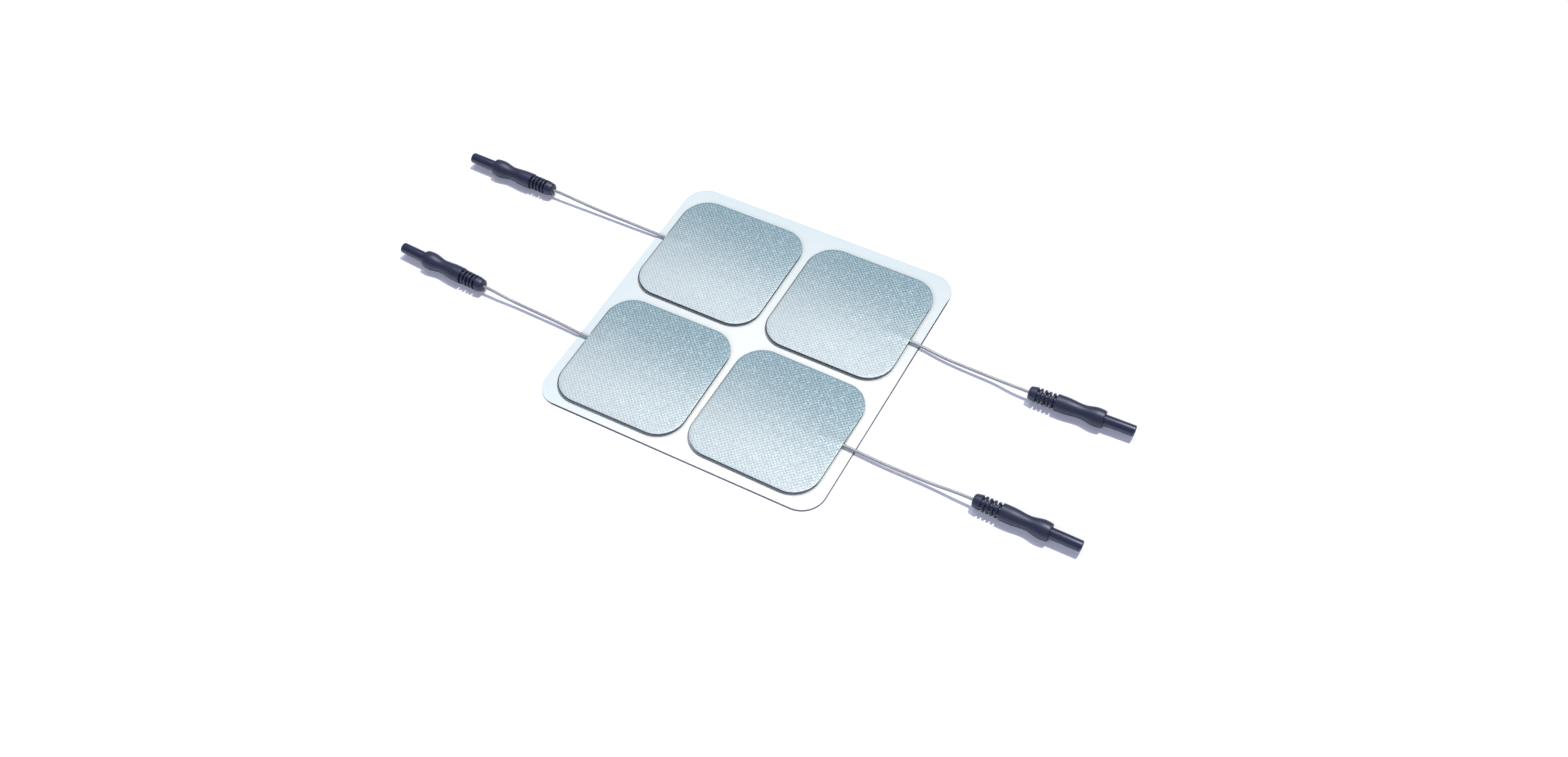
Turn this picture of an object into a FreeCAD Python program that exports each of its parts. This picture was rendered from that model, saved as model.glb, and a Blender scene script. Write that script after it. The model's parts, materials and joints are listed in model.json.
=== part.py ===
"""Four self-adhesive nerve-stimulation electrodes on one release liner, each with a short lead and a 2 mm socket.

Each electrode is a square stack: a sheet of skin gel, a conductive carbon film and a cover cloth. A bare fan of
strands lies between film and cloth, runs out through the lead's jacket and is crimped in a split socket contact.
The contact sits in a stiff sleeve, and a soft grip with a ribbed tail is moulded round sleeve and jacket.

Millimetres, +Z up. The origin is under the middle of the liner, on the surface that it lies on. The leads leave
the set along -X and +X. Every electrode peels off the liner, straight up in this model.
"""

import math
import os

import FreeCAD, Part  # noqa: E401  FreeCAD has to be imported first

Vector = FreeCAD.Vector
X_AXIS = Vector(1, 0, 0)
Z_AXIS = Vector(0, 0, 1)

# Pad: the stack that sticks to the skin
PAD_LENGTH = 50.0  # along the lead
PAD_WIDTH = 50.0
PAD_CORNER = 10.0
GEL_THICKNESS = 1.1
FILM_THICKNESS = 0.12
CLOTH_THICKNESS = 0.32

# Release liner, and how the pads are laid out on it
LINER_THICKNESS = 0.4
LINER_CORNER = 9.0
PAD_GAP_X = 3.7
PAD_GAP_Y = 4.5
MARGIN_X = 4.3
MARGIN_FRONT = 4.2
MARGIN_BACK = 6.4

# Lead
LEAD_DIAMETER = 1.2
CORE_DIAMETER = 0.7
CORE_CLEARANCE = 0.03  # between the strands and the jacket's bore
LEAD_SINK = 0.15  # of the lead's axis below the film's top, inside the pad
LEAD_TUCK = 3.0  # jacket inside the pad
CORE_TUCK = 1.2  # bare strands past the jacket's end, still in one bundle
LEAD_STRAIGHT = 4.0  # how far out of the pad the lead's first run goes
TUNNEL_CLEARANCE = 0.05  # between the jacket and the channel that it lies in
TUNNEL_WALL = 0.22  # cloth over the jacket

# Fan of bare strands between film and cloth
STRAND_COUNT = 7
STRAND_DIAMETER = 0.15
STRAND_LENGTH = 20.0
FAN_HALF_ANGLE = 24.0
STRAND_CLEARANCE = 0.01
POCKET_DEPTH = 0.17  # in the cloth's underside
POCKET_BORDER = 0.8  # room round the fan

# Connector, measured from its tail along its axis
COLLAR_LENGTH = 2.9
COLLAR_TAIL_RADIUS = 2.35
RIB_RADIUS = 2.8
RIB_COUNT = 4
RIB_LENGTH = 0.7
GROOVE_LENGTH = 0.85
GROOVE_RADIUS = 1.55
WEB_WIDTH = 1.7  # of the bridges across each groove
GRIP_LENGTH = 17.4
GRIP_TAIL_RADIUS = 3.05
WAIST_RADIUS = 2.6
BULGE_RADIUS = 3.4
GRIP_NOSE_RADIUS = 3.15
EDGE_ROUND = 0.3
NOSE_LENGTH = 11.0
NOSE_RADIUS = 2.05
NOSE_IN_GRIP = 3.4  # of the nose's own diameter, inside the grip
SLEEVE_TAIL_RADIUS = 1.7
SLEEVE_TAIL_LENGTH = 8.0
MOUTH_RADIUS = 1.25
MOUTH_LENGTH = 1.0
MOUTH_CHAMFER = 0.35
JACKET_IN_GRIP = 4.5
SEAT_CLEARANCE = 0.02  # between moulded-in pieces

# Socket contact for a 2 mm pin
PIN_BORE_RADIUS = 1.01
PIN_BORE_DEPTH = 9.8
CONTACT_RADIUS = 1.38
CONTACT_NECK_RADIUS = 1.0
NECK_LENGTH = 3.5
CRIMP_RADIUS = 0.9
CRIMP_LENGTH = 4.5
CRIMP_DEPTH = 3.0
SLOT_WIDTH = 0.35
SLOT_LENGTH = 8.0

# How each electrode lies: slip of the hand-laid pad (x, y, turn), where the lead leaves the pad's side, the
# lead's chosen points (distance from the pad's edge, sideways, height), the connector's tail (distance from the
# edge, sideways) and heading, and the connector's roll. Sideways and headings are in the electrode's own frame,
# whose +X is the lead's way out.
ELECTRODES = {
    "back_left": {
        "side": (-1, 1),
        "slip": (-0.25, 0.0, 0.1),
        "lead_exit": -1.4,
        "lead_points": [(14.0, -1.3, 1.75), (24.5, -1.25, 1.95), (34.5, -1.3, 2.3)],
        "tail": (50.9, -1.5),
        "heading": -1.1,
        "roll": 10.0,
    },
    "back_right": {
        "side": (1, 1),
        "slip": (0.1, 0.0, 0.0),
        "lead_exit": -2.3,
        "lead_points": [(14.0, -3.95, 1.6), (24.5, -4.35, 1.9), (34.5, -4.5, 1.95)],
        "tail": (47.3, -5.4),
        "heading": 1.4,
        "roll": 48.0,
    },
    "front_left": {
        "side": (-1, -1),
        "slip": (0.05, -0.35, 0.4),
        "lead_exit": -1.9,
        "lead_points": [(14.0, -2.6, 1.75), (24.5, -2.9, 1.9), (34.5, -3.25, 2.1)],
        "tail": (47.0, -3.7),
        "heading": -3.7,
        "roll": 80.0,
    },
    "front_right": {
        "side": (1, -1),
        "slip": (-0.3, 0.35, -0.8),
        "lead_exit": 1.0,
        "lead_points": [(14.0, 0.5, 1.5), (24.5, 0.6, 1.55), (34.5, 0.75, 1.75)],
        "tail": (49.0, 0.7),
        "heading": 0.0,
        "roll": 20.0,
    },
}

# Worked out from the sizes above
GEL_TOP = LINER_THICKNESS + GEL_THICKNESS
FILM_TOP = GEL_TOP + FILM_THICKNESS
EXIT_HEIGHT = FILM_TOP - LEAD_SINK
LEAD_RADIUS = LEAD_DIAMETER / 2
CORE_RADIUS = CORE_DIAMETER / 2
CHANNEL_RADIUS = LEAD_RADIUS + TUNNEL_CLEARANCE
TUNNEL_RADIUS = CHANNEL_RADIUS + TUNNEL_WALL
CHANNEL_LENGTH = LEAD_TUCK + CORE_TUCK + TUNNEL_CLEARANCE
PITCH_X = PAD_LENGTH + PAD_GAP_X
PITCH_Y = PAD_WIDTH + PAD_GAP_Y
LINER_LENGTH = PITCH_X + PAD_LENGTH + 2 * MARGIN_X
LINER_WIDTH = PITCH_Y + PAD_WIDTH + MARGIN_FRONT + MARGIN_BACK
GRID_Y = (MARGIN_FRONT - MARGIN_BACK) / 2
TAIL_LENGTH = COLLAR_LENGTH + (RIB_COUNT + 1) * GROOVE_LENGTH + RIB_COUNT * RIB_LENGTH
GRIP_END = TAIL_LENGTH + GRIP_LENGTH
NOSE_TIP = GRIP_END + NOSE_LENGTH
NOSE_START = GRIP_END - NOSE_IN_GRIP
SLEEVE_START = NOSE_START - SLEEVE_TAIL_LENGTH
CONTACT_END = NOSE_TIP - MOUTH_LENGTH
SOCKET_START = CONTACT_END - PIN_BORE_DEPTH - (CONTACT_RADIUS - PIN_BORE_RADIUS) * 2
CRIMP_END = SOCKET_START - NECK_LENGTH
CRIMP_START = CRIMP_END - CRIMP_LENGTH
CORE_END = CRIMP_START + CRIMP_DEPTH
SLEEVE_BORE_RADIUS = CONTACT_RADIUS + SEAT_CLEARANCE
AXIS_HEIGHT = BULGE_RADIUS  # the connector lies on the surface on its bulge


def rounded_plate(length, width, corner, bottom, thickness):
    """A flat plate with round corners, centred on the Z axis."""
    x, y, bend = length / 2, width / 2, corner * math.sqrt(0.5)
    corners = ((1, 1), (-1, 1), (-1, -1), (1, -1))
    ends, edges = [], []
    for sx, sy in corners:
        along_x = Vector(sx * (x - corner), sy * y, bottom)
        along_y = Vector(sx * x, sy * (y - corner), bottom)
        middle = Vector(sx * (x - corner + bend), sy * (y - corner + bend), bottom)
        first, last = (along_y, along_x) if sx * sy > 0 else (along_x, along_y)
        edges.append(Part.Arc(first, middle, last).toShape())
        ends.append((first, last))
    for here, there in zip(ends, ends[1:] + ends[:1]):
        edges.append(Part.LineSegment(here[1], there[0]).toShape())
    outline = Part.Wire(Part.sortEdges(edges)[0])
    return Part.Face(outline).extrude(Vector(0, 0, thickness))


def rod(start, end, radius):
    """A round rod along the X axis."""
    return Part.makeCylinder(radius, end - start, Vector(start, 0, 0), X_AXIS)


def turned(edges):
    """A solid of revolution about the X axis from a closed outline in the XY plane."""
    return Part.Face(Part.Wire(Part.sortEdges(edges)[0])).revolve(Vector(), X_AXIS, 360)


def polyline(points):
    """Straight edges through (x, radius) points."""
    corners = [Vector(x, r, 0) for x, r in points]
    return [Part.LineSegment(a, b).toShape() for a, b in zip(corners, corners[1:])]


def release_liner():
    return rounded_plate(LINER_LENGTH, LINER_WIDTH, LINER_CORNER, 0, LINER_THICKNESS)


def lead_channel(exit_y):
    """The round-ended space that the jacket's end and the bundle of strands take inside the pad."""
    edge = PAD_LENGTH / 2
    centre = Vector(edge - CHANNEL_LENGTH, exit_y, EXIT_HEIGHT)
    # it runs past the pad's side, so that it cuts the side cleanly
    straight = Part.makeCylinder(CHANNEL_RADIUS, CHANNEL_LENGTH + 2 * TUNNEL_WALL, centre, X_AXIS)
    return straight.fuse(Part.makeSphere(CHANNEL_RADIUS, centre))


def fan_directions():
    step = 2 * FAN_HALF_ANGLE / (STRAND_COUNT - 1)
    return [math.radians(-FAN_HALF_ANGLE + i * step) for i in range(STRAND_COUNT)]


def fan_root(exit_y):
    """Where the strands spread from, just inside the end of their bundle."""
    x = PAD_LENGTH / 2 - LEAD_TUCK - CORE_TUCK + CORE_RADIUS
    return Vector(x, exit_y, FILM_TOP + STRAND_CLEARANCE + STRAND_DIAMETER / 2)


def fan_pocket(exit_y):
    """The shallow recess under the cloth that the fan lies in."""
    root = fan_root(exit_y)
    reach = STRAND_LENGTH + POCKET_BORDER
    half = math.radians(FAN_HALF_ANGLE)
    near = POCKET_BORDER
    far = near + reach * math.sin(half)
    back = root.x - reach
    corners = [(root.x, -near), (root.x, near), (back, far), (back, -far)]
    points = [Vector(x, exit_y + y, FILM_TOP) for x, y in corners]
    outline = Part.makePolygon(points + points[:1])
    return Part.Face(outline).extrude(Vector(0, 0, POCKET_DEPTH))


def hydrogel(exit_y):
    plate = rounded_plate(PAD_LENGTH, PAD_WIDTH, PAD_CORNER, LINER_THICKNESS, GEL_THICKNESS)
    return plate.cut(lead_channel(exit_y))


def carbon_film(exit_y):
    plate = rounded_plate(PAD_LENGTH, PAD_WIDTH, PAD_CORNER, GEL_TOP, FILM_THICKNESS)
    return plate.cut(lead_channel(exit_y))


def cover_cloth(exit_y):
    """The cloth, with the low tunnel that it forms over the end of the lead."""
    plate = rounded_plate(PAD_LENGTH, PAD_WIDTH, PAD_CORNER, FILM_TOP, CLOTH_THICKNESS)
    edge = PAD_LENGTH / 2
    start = Vector(edge - CHANNEL_LENGTH, exit_y, EXIT_HEIGHT)
    ridge = Part.makeCylinder(TUNNEL_RADIUS, CHANNEL_LENGTH, start, X_AXIS)
    ridge = ridge.fuse(Part.makeSphere(TUNNEL_RADIUS, start))
    above = Part.makeBox(PAD_LENGTH, PAD_WIDTH, 4 * TUNNEL_RADIUS, Vector(-edge, -PAD_WIDTH / 2, FILM_TOP))
    cloth = plate.fuse(ridge.common(above)).removeSplitter()
    return cloth.cut(lead_channel(exit_y)).cut(fan_pocket(exit_y))


def lead_route(exit_y, points, tail, heading):
    """The lead's corner points: straight out of the pad, over the chosen points and straight into the connector."""
    edge = PAD_LENGTH / 2
    along = Vector(math.cos(math.radians(heading)), math.sin(math.radians(heading)), 0)
    tail_point = Vector(edge + tail[0], tail[1], AXIS_HEIGHT)
    first = [Vector(edge - LEAD_TUCK, exit_y, EXIT_HEIGHT), Vector(edge + LEAD_STRAIGHT, exit_y, EXIT_HEIGHT)]
    middle = [Vector(edge + x, y, z) for x, y, z in points]
    return first + middle + [tail_point - along * JACKET_IN_GRIP, tail_point + along * JACKET_IN_GRIP]


def rounded_path(points):
    """Straight runs joined by tangent arcs, each as large as its two runs allow. Returns the wire and the radii."""
    edges, radii, here = [], [], points[0]
    for before, corner, after in zip(points, points[1:], points[2:]):
        into, out = corner - before, after - corner
        half_turn = into.getAngle(out) / 2
        shorter = min(into.Length, out.Length)
        setback = 0.45 * shorter
        start = corner - into.normalize() * setback
        end = corner + out.normalize() * setback
        to_middle = (start + end) * 0.5 - corner
        radius = setback / math.tan(half_turn)
        middle = corner + to_middle.normalize() * (radius / math.cos(half_turn) - radius)
        edges.append(Part.LineSegment(here, start).toShape())
        edges.append(Part.Arc(start, middle, end).toShape())
        radii.append(radius)
        here = end
    edges.append(Part.LineSegment(here, points[-1]).toShape())
    return Part.Wire(edges), radii


def swept(points, radius):
    """A round section carried along the rounded path. Its volume is held against section times length."""
    path, radii = rounded_path(points)
    section = Part.Wire(Part.makeCircle(radius, points[0], points[1] - points[0]))
    solid = path.makePipeShell([section], True, True)
    expected = math.pi * radius**2 * path.Length
    share = solid.Volume / expected
    print(f"  sweep r {radius:.2f}: {path.Length:.2f} long, volume share {share:.4f}, tightest arc {min(radii):.1f}")
    return solid


def stretched(points, before, after):
    """The same route, starting and ending a little further along its first and last runs."""
    start = points[0] - (points[1] - points[0]).normalize() * before
    end = points[-1] + (points[-1] - points[-2]).normalize() * after
    return [start] + points[1:-1] + [end]


def lead_jacket(route):
    """The insulation: a tube from inside the pad to inside the grip."""
    bore = stretched(route, CORE_CLEARANCE, CORE_CLEARANCE)
    return swept(route, LEAD_RADIUS).cut(swept(bore, CORE_RADIUS + CORE_CLEARANCE))


def lead_conductor(route, exit_y):
    """The stranded core, from the crimp through the jacket to the fan of bare strands in the pad."""
    conductor = swept(stretched(route, CORE_TUCK, CORE_END - JACKET_IN_GRIP), CORE_RADIUS)
    root = fan_root(exit_y)
    for angle in fan_directions():
        direction = Vector(-math.cos(angle), math.sin(angle), 0)
        length = STRAND_LENGTH / math.cos(angle)
        conductor = conductor.fuse(Part.makeCylinder(STRAND_DIAMETER / 2, length, root, direction))
    return conductor


def grip_outline():
    """The grip's outer line from tail to nose: tapered collar, grooves and ribs, then the waisted grip."""
    collar_end = COLLAR_LENGTH
    line = [(0, 0), (0, COLLAR_TAIL_RADIUS - EDGE_ROUND), (EDGE_ROUND, COLLAR_TAIL_RADIUS), (collar_end, RIB_RADIUS)]
    x = collar_end
    for rib in range(RIB_COUNT + 1):
        line += [(x, GROOVE_RADIUS), (x + GROOVE_LENGTH, GROOVE_RADIUS)]
        x += GROOVE_LENGTH
        if rib < RIB_COUNT:
            line += [(x, RIB_RADIUS), (x + RIB_LENGTH, RIB_RADIUS)]
            x += RIB_LENGTH
    line += [(x, GRIP_TAIL_RADIUS - EDGE_ROUND), (x + EDGE_ROUND, GRIP_TAIL_RADIUS)]
    curve = Part.BSplineCurve()
    waist = x + 0.55 * GRIP_LENGTH
    bulge = x + 0.88 * GRIP_LENGTH
    through = [
        (x + EDGE_ROUND, GRIP_TAIL_RADIUS),
        (x + 0.2 * GRIP_LENGTH, GRIP_TAIL_RADIUS),
        (waist, WAIST_RADIUS),
        (bulge, BULGE_RADIUS),
        (GRIP_END - EDGE_ROUND, GRIP_NOSE_RADIUS),
    ]
    curve.interpolate([Vector(px, r, 0) for px, r in through])
    nose = [(GRIP_END - EDGE_ROUND, GRIP_NOSE_RADIUS), (GRIP_END, GRIP_NOSE_RADIUS - EDGE_ROUND), (GRIP_END, 0), (0, 0)]
    return polyline(line) + [curve.toShape()] + polyline(nose)


def groove_webs():
    """The bridges that cross the grooves, above and below in one groove and left and right in the next."""
    webs = []
    for groove in range(RIB_COUNT + 1):
        start = COLLAR_LENGTH + groove * (GROOVE_LENGTH + RIB_LENGTH)
        # the bridges end short of the ribs' rim, on the ribs' own flanks
        reach = RIB_RADIUS - EDGE_ROUND / 2
        size = (WEB_WIDTH, 2 * reach) if groove % 2 else (2 * reach, WEB_WIDTH)
        corner = Vector(start, -size[0] / 2, -size[1] / 2)
        block = Part.makeBox(GROOVE_LENGTH, size[0], size[1], corner)
        webs.append(block.common(rod(start, start + GROOVE_LENGTH, reach)))
    return webs


def connector_grip():
    """The soft moulding round jacket and sleeve."""
    grip = turned(grip_outline())
    for web in groove_webs():
        grip = grip.fuse(web)
    cavity = rod(-SEAT_CLEARANCE, JACKET_IN_GRIP, LEAD_RADIUS + SEAT_CLEARANCE)
    cavity = cavity.fuse(rod(0, SLEEVE_START, CORE_RADIUS + SEAT_CLEARANCE))
    cavity = cavity.fuse(rod(SLEEVE_START, NOSE_TIP, SLEEVE_TAIL_RADIUS + SEAT_CLEARANCE))
    cavity = cavity.fuse(rod(NOSE_START, NOSE_TIP, NOSE_RADIUS + SEAT_CLEARANCE))
    return grip.cut(cavity)


def connector_sleeve():
    """The stiff insulating sleeve that the contact is pushed into from behind, up to the lip of its mouth."""
    line = [
        (SLEEVE_START, 0),
        (SLEEVE_START, SLEEVE_TAIL_RADIUS),
        (NOSE_START, SLEEVE_TAIL_RADIUS),
        (NOSE_START, NOSE_RADIUS),
        (NOSE_TIP - EDGE_ROUND, NOSE_RADIUS),
        (NOSE_TIP, NOSE_RADIUS - EDGE_ROUND),
        (NOSE_TIP, 0),
        (SLEEVE_START, 0),
    ]
    sleeve = turned(polyline(line))
    sleeve = sleeve.cut(rod(SLEEVE_START, CONTACT_END, SLEEVE_BORE_RADIUS))
    sleeve = sleeve.cut(rod(SLEEVE_START, NOSE_TIP, MOUTH_RADIUS))
    lead_in = Part.makeCone(
        MOUTH_RADIUS, MOUTH_RADIUS + MOUTH_CHAMFER, MOUTH_CHAMFER, Vector(NOSE_TIP - MOUTH_CHAMFER, 0, 0), X_AXIS
    )
    return sleeve.cut(lead_in)


def socket_contact():
    """The split spring socket, its neck and the barrel that is crimped on the strands."""
    contact = rod(SOCKET_START, CONTACT_END, CONTACT_RADIUS)
    contact = contact.fuse(rod(CRIMP_END, SOCKET_START, CONTACT_NECK_RADIUS))
    contact = contact.fuse(rod(CRIMP_START, CRIMP_END, CRIMP_RADIUS))
    contact = contact.cut(rod(CONTACT_END - PIN_BORE_DEPTH, CONTACT_END, PIN_BORE_RADIUS))
    contact = contact.cut(rod(CRIMP_START, CORE_END, CORE_RADIUS + SEAT_CLEARANCE))
    corner = Vector(CONTACT_END - SLOT_LENGTH, -SLOT_WIDTH / 2, -CONTACT_RADIUS)
    return contact.cut(Part.makeBox(SLOT_LENGTH, SLOT_WIDTH, 2 * CONTACT_RADIUS, corner))


def electrode_place(side, slip):
    """Where the electrode's own frame goes. Its +X is the lead's way out, so the left ones are turned round."""
    x = side[0] * PITCH_X / 2 + slip[0]
    y = side[1] * PITCH_Y / 2 + GRID_Y + slip[1]
    turn = slip[2] + (180 if side[0] < 0 else 0)
    return FreeCAD.Placement(Vector(x, y, 0), FreeCAD.Rotation(Z_AXIS, turn))


def connector_place(tail, heading, roll):
    point = Vector(PAD_LENGTH / 2 + tail[0], tail[1], AXIS_HEIGHT)
    rotation = FreeCAD.Rotation(Z_AXIS, heading).multiply(FreeCAD.Rotation(X_AXIS, roll))
    return FreeCAD.Placement(point, rotation)


def placed(shape, place):
    copy = shape.copy()
    copy.Placement = place.multiply(copy.Placement)
    return copy


def save(shape, node):
    for solid in shape.Solids:
        if not solid.isValid():
            raise ValueError(f"{node} has an invalid solid")
    whole = shape.Solids[0] if len(shape.Solids) == 1 else Part.makeCompound(shape.Solids)
    whole.exportStep(os.path.join("parts", node + ".step"))
    print(f"{node}: {len(shape.Solids)} solid(s), {shape.Volume:.1f} mm3")


def electrode(name, lie):
    """Builds and saves the eight pieces of one electrode."""
    exit_y = lie["lead_exit"]
    route = lead_route(exit_y, lie["lead_points"], lie["tail"], lie["heading"])
    home = electrode_place(lie["side"], lie["slip"])
    plug = home.multiply(connector_place(lie["tail"], lie["heading"], lie["roll"]))
    save(placed(hydrogel(exit_y), home), "hydrogel_" + name)
    save(placed(carbon_film(exit_y), home), "carbon_film_" + name)
    save(placed(cover_cloth(exit_y), home), "cover_cloth_" + name)
    save(placed(lead_conductor(route, exit_y), home), "lead_conductor_" + name)
    save(placed(lead_jacket(route), home), "lead_jacket_" + name)
    save(placed(connector_grip(), plug), "connector_grip_" + name)
    save(placed(connector_sleeve(), plug), "connector_sleeve_" + name)
    save(placed(socket_contact(), plug), "socket_contact_" + name)
    bore = plug.multVec(Vector(CONTACT_END - PIN_BORE_DEPTH / 2, 0, 0))
    out = plug.Rotation.multVec(X_AXIS)
    print(f"  pin bore middle {tuple(round(v, 4) for v in bore)}, axis {tuple(round(v, 6) for v in out)}")


def main():
    os.makedirs("parts", exist_ok=True)
    save(release_liner(), "release_liner")
    for name, lie in ELECTRODES.items():
        electrode(name, lie)


main()
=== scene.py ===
"""Visible surfaces of four self-adhesive nerve-stimulation electrodes on their release liner.

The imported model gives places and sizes. This script replaces its cloths, gels and mouldings with finished
ones, lays a smooth lead along each route and gives every piece its material. Lengths below are millimetres
unless a heading says otherwise, and all that reaches Blender is metres.
"""

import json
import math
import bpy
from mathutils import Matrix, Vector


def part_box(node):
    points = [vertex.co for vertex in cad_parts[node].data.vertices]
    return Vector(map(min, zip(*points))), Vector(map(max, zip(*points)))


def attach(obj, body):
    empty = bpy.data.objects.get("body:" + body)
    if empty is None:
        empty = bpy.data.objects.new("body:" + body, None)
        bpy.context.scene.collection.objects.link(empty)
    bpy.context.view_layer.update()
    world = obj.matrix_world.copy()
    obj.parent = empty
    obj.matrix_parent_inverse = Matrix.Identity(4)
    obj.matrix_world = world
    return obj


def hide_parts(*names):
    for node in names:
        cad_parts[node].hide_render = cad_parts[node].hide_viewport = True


bl_info = {
    "name": "Nerve Stimulation Electrodes",
    "version": (1, 0, 0),
    "blender": (4, 5, 0),
    "location": "3D View > Sidebar > Electrodes",
    "description": "Builds the finished surfaces, materials and studio of a set of self-adhesive electrodes",
    "category": "Object",
}

import bmesh
import bpy
from mathutils import Matrix, Vector

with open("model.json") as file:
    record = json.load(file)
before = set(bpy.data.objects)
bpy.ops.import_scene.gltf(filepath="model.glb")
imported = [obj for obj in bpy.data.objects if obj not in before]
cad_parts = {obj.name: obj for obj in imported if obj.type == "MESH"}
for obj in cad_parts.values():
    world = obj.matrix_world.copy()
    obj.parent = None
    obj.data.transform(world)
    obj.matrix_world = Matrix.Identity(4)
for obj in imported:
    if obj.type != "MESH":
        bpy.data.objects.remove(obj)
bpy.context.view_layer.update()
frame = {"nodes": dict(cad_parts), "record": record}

MM = 0.001
PLACES = ("back_left", "back_right", "front_left", "front_right")

# Each electrode's slight turn on the liner, the roll of its connector and its lead's route. Route points
# are (distance from the pad's edge, sideways, height) in the electrode's own frame, whose +X is the lead's
# way out.
LAYOUT = {
    "back_left": {
        "turn": 0.1,
        "roll": 10.0,
        "exit": -1.4,
        "route": [(14.0, -1.3, 1.75), (24.5, -1.25, 1.95), (34.5, -1.3, 2.3)],
    },
    "back_right": {
        "turn": 0.0,
        "roll": 48.0,
        "exit": -2.3,
        "route": [(14.0, -3.95, 1.6), (24.5, -4.35, 1.9), (34.5, -4.5, 1.95)],
    },
    "front_left": {
        "turn": 0.4,
        "roll": 80.0,
        "exit": -1.9,
        "route": [(14.0, -2.6, 1.75), (24.5, -2.9, 1.9), (34.5, -3.25, 2.1)],
    },
    "front_right": {
        "turn": -0.8,
        "roll": 20.0,
        "exit": 1.0,
        "route": [(14.0, 0.5, 1.5), (24.5, 0.6, 1.55), (34.5, 0.75, 1.75)],
    },
}

# Pad
GRID_STEP = 1.25
GRID_MIN_STEP = 0.08
RIM_LINES = (0.15, 0.4, 0.8)  # grid lines in from the rim
CLOTH_THICKNESS = 0.32
CLOTH_GAP = 0.004  # cloth off the film at its rim
RIM_DROP = 0.1
RIM_DROP_REACH = 0.8
SWELL_RISE = 0.24  # of the cloth's top over the lead
SWELL_WIDTH = 2.2
SWELL_INNER_END = 13.0  # in from the pad's edge
HOLLOW_RISE = 0.36  # of its underside
HOLLOW_WIDTH = 0.9
# The gel slips past the cloth so that its dark side stands in for shade along the pad's left and front edges
GEL_SHADE_SLIP_X = 0.45  # of the gel past the cloth, to the left
GEL_SHADE_SLIP_Y = 0.2  # and to the front
GEL_INSET = 0.02
GEL_SEGMENTS = 40  # along each side
GEL_LAYERS = 9
DENT_WIDTH = 0.8
DENT_INNER_END = 3.0
DENT_START = 0.5  # height over the floor
DENT_RAMP = 0.5

# Liner
LINER_CORNER = 9.0
# The painted shade line along the liner's front and right edges
SHADE_LINE_WIDTH = 0.4
SHADE_LINE_START, SHADE_LINE_FULL = 6.0, 10.0  # x - y where the line begins and where it is full

# Lead
LEAD_TUCK = 3.0  # lead inside the pad
LEAD_STRAIGHT = 4.0  # first run outside it
LEAD_IN_GRIP = 4.5
LEAD_BORE_RADIUS = 0.62
STRAND_BORE_RADIUS = 0.4
SPLINE_ORDER = 3
SPLINE_STEPS = 16

# Connector, from its tail along its axis
COLLAR_LENGTH = 2.9
COLLAR_TAIL_RADIUS = 2.35
RIB_RADIUS = 2.8
RIB_COUNT = 4
RIB_LENGTH = 0.7
GROOVE_LENGTH = 0.85
GROOVE_RADIUS = 1.55
WEB_HALF_WIDTH = 0.7
WEB_RADIUS = 2.25
GRIP_LENGTH = 17.4
GRIP_TAIL_RADIUS = 3.05
WAIST_RADIUS = 2.6
BULGE_RADIUS = 3.4
GRIP_NOSE_RADIUS = 3.15
NOSE_LENGTH = 11.0
NOSE_RADIUS = 2.05
NOSE_IN_GRIP = 3.4
SLEEVE_TAIL_LENGTH = 8.0
SLEEVE_TAIL_RADIUS = 1.7
SLEEVE_BORE_RADIUS = 1.4
MOUTH_RADIUS = 1.25
MOUTH_LENGTH = 1.0
MOUTH_CHAMFER = 0.35
SEAT_CLEARANCE = 0.02
GRIP_ROUND = 0.16
SLEEVE_ROUND = 0.32
GRIP_STEPS = 26  # along the waisted stretch
WAIST_START, WAIST_AT, BULGE_AT, WAIST_END = 0.18, 0.55, 0.86, 1.1  # shares of that stretch
TAIL_LENGTH = COLLAR_LENGTH + (RIB_COUNT + 1) * GROOVE_LENGTH + RIB_COUNT * RIB_LENGTH
GRIP_END = TAIL_LENGTH + GRIP_LENGTH
NOSE_TIP = GRIP_END + NOSE_LENGTH
NOSE_START = GRIP_END - NOSE_IN_GRIP
SLEEVE_START = NOSE_START - SLEEVE_TAIL_LENGTH

# Studio, in metres and degrees
KEY_TOWARDS = (0.12, 0.33, 0.935)
KEY_ANGLE = 1.8
OVERHEAD_TOWARDS = (-0.3, 0.3, 0.92)
OVERHEAD_DISTANCE = 1.1
OVERHEAD_SIZE = (0.6, 0.4)
FRONT_TOWARDS = (0.1, -0.75, 0.65)
FRONT_DISTANCE = 1.2
FRONT_SIZE = (1.4, 0.7)
FLOOR_REACH = 2.5


# ---------------------------------------------------------------- places


def record_mount(name):
    for mount in frame["record"]["mounts"]:
        if mount["name"] == name:
            return mount
    raise KeyError(name)


def side_of(place):
    """+1 where the lead leaves along +X, -1 where it leaves along -X."""
    return -1 if place.endswith("left") else 1


def pad_matrix(place):
    """The pad's own frame, with +Y to the back on every pad. Its origin is under the pad's middle."""
    low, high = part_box("hydrogel_" + place)
    middle = (low + high) / 2
    turn = Matrix.Rotation(math.radians(LAYOUT[place]["turn"]), 4, "Z")
    return Matrix.Translation((middle.x, middle.y, 0)) @ turn


def connector_matrix(place):
    """The connector's frame: origin at its tail, +X out of its mouth, rolled as the real one lies."""
    mount = record_mount("socket_" + place)
    axis = Vector(mount["axis"]).normalized()
    bore_half = mount["dims"]["length_mm"] / 2
    tail = Vector(mount["pos_m"]) - axis * (NOSE_TIP - MOUTH_LENGTH - bore_half) * MM
    sideways = Vector((0, 0, 1)).cross(axis).normalized()
    up = axis.cross(sideways)
    basis = Matrix((axis, sideways, up)).transposed().to_4x4()
    roll = Matrix.Rotation(math.radians(LAYOUT[place]["roll"]), 4, "X")
    return Matrix.Translation(tail) @ basis @ roll


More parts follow.
